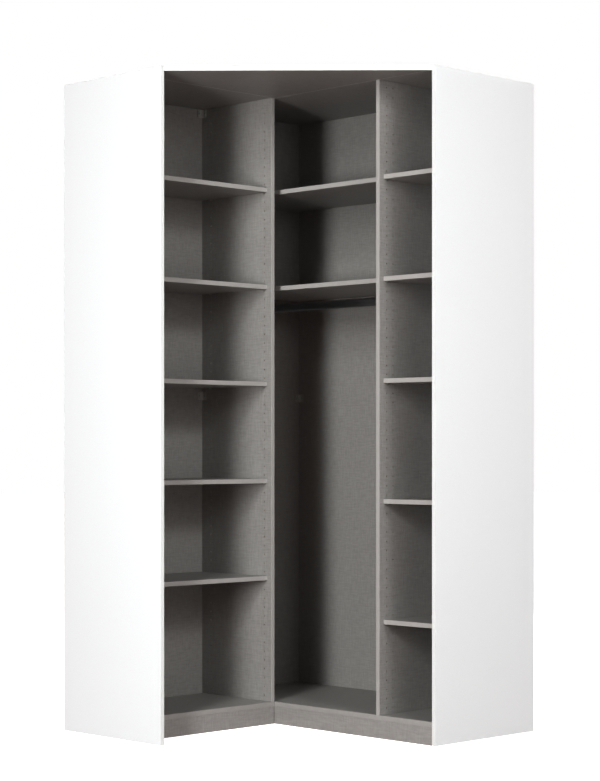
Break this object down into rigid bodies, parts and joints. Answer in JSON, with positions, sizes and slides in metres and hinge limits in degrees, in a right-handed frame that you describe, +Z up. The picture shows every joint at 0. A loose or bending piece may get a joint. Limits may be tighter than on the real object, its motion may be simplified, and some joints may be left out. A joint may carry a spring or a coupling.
{
  "type": "corner wardrobe",
  "caption": "Open-front corner wardrobe carcass with a shelf bay, a hanging bay with an oval clothes rail, a narrow shelf column and a top whose front edge runs across the corner.",
  "frame": {"origin": "on the floor, under the middle of the square footprint", "axes": "+Z up; the two room walls are at -X and +Y; the left wing stands along the -X wall and faces +X, the right wing stands along the +Y wall and faces -Y, and the diagonal front faces +X -Y"},
  "size_m": [1.175, 1.175, 2.285],
  "materials": {
    "linen_board": "grey-beige linen print on melamine-faced chipboard, satin",
    "white_board": "white melamine-faced chipboard with linen print inside, satin",
    "back_sheet": "thin hardboard with linen print, satin",
    "rail_metal": "satin chrome plating on steel tube",
    "clip_plastic": "moulded grey plastic",
    "beech": "turned beech, raw"
  },
  "bodies": {
    "carcass": {"left_side_panel": "white_board", "right_side_panel": "white_board", "corner_partition": "linen_board", "column_divider": "linen_board", "corner_side_panel": "linen_board", "left_bottom_board": "linen_board", "right_bottom_board": "linen_board", "left_plinth": "linen_board", "right_plinth": "linen_board", "left_rear_rail": "linen_board", "right_rear_rail": "linen_board", "left_top_board": "white_board", "right_top_board": "white_board", "corner_top_board": "white_board", "top_dowel_right_1": "beech", "top_dowel_right_2": "beech", "top_dowel_left_1": "beech", "top_dowel_left_2": "beech", "left_bay_back": "back_sheet", "hanging_bay_back": "back_sheet", "column_back": "back_sheet", "hanging_shelf_1": "linen_board", "hanging_shelf_2": "linen_board", "clothes_rail": "rail_metal", "rail_socket_left": "rail_metal", "rail_socket_right": "rail_metal", "clip_partition": "clip_plastic", "clip_left_panel": "clip_plastic", "clip_room_corner": "clip_plastic", "clip_divider_left": "clip_plastic", "clip_divider_right": "clip_plastic", "clip_right_panel": "clip_plastic", "clip_partition_top": "clip_plastic", "clip_left_panel_top": "clip_plastic"},
    "loose_left_shelf_1": {"left_shelf_1": "linen_board"},
    "loose_left_shelf_2": {"left_shelf_2": "linen_board"},
    "loose_left_shelf_3": {"left_shelf_3": "linen_board"},
    "loose_left_shelf_4": {"left_shelf_4": "linen_board"},
    "loose_left_shelf_5": {"left_shelf_5": "linen_board"},
    "loose_column_shelf_1": {"column_shelf_1": "linen_board"},
    "loose_column_shelf_2": {"column_shelf_2": "linen_board"},
    "loose_column_shelf_3": {"column_shelf_3": "linen_board"},
    "loose_column_shelf_4": {"column_shelf_4": "linen_board"},
    "loose_column_shelf_5": {"column_shelf_5": "linen_board"}
  },
  "joints": [
    {"name": "left_shelf_1_slide", "type": "slide", "parent": "carcass", "child": "loose_left_shelf_1", "axis": [1, 0, 0], "range_m": [0, 0.335]},
    {"name": "left_shelf_2_slide", "type": "slide", "parent": "carcass", "child": "loose_left_shelf_2", "axis": [1, 0, 0], "range_m": [0, 0.335]},
    {"name": "left_shelf_3_slide", "type": "slide", "parent": "carcass", "child": "loose_left_shelf_3", "axis": [1, 0, 0], "range_m": [0, 0.335]},
    {"name": "left_shelf_4_slide", "type": "slide", "parent": "carcass", "child": "loose_left_shelf_4", "axis": [1, 0, 0], "range_m": [0, 0.335]},
    {"name": "left_shelf_5_slide", "type": "slide", "parent": "carcass", "child": "loose_left_shelf_5", "axis": [1, 0, 0], "range_m": [0, 0.335]},
    {"name": "column_shelf_1_slide", "type": "slide", "parent": "carcass", "child": "loose_column_shelf_1", "axis": [0, -1, 0], "range_m": [0, 0.46]},
    {"name": "column_shelf_2_slide", "type": "slide", "parent": "carcass", "child": "loose_column_shelf_2", "axis": [0, -1, 0], "range_m": [0, 0.46]},
    {"name": "column_shelf_3_slide", "type": "slide", "parent": "carcass", "child": "loose_column_shelf_3", "axis": [0, -1, 0], "range_m": [0, 0.46]},
    {"name": "column_shelf_4_slide", "type": "slide", "parent": "carcass", "child": "loose_column_shelf_4", "axis": [0, -1, 0], "range_m": [0, 0.46]},
    {"name": "column_shelf_5_slide", "type": "slide", "parent": "carcass", "child": "loose_column_shelf_5", "axis": [0, -1, 0], "range_m": [0, 0.46]}
  ]
}
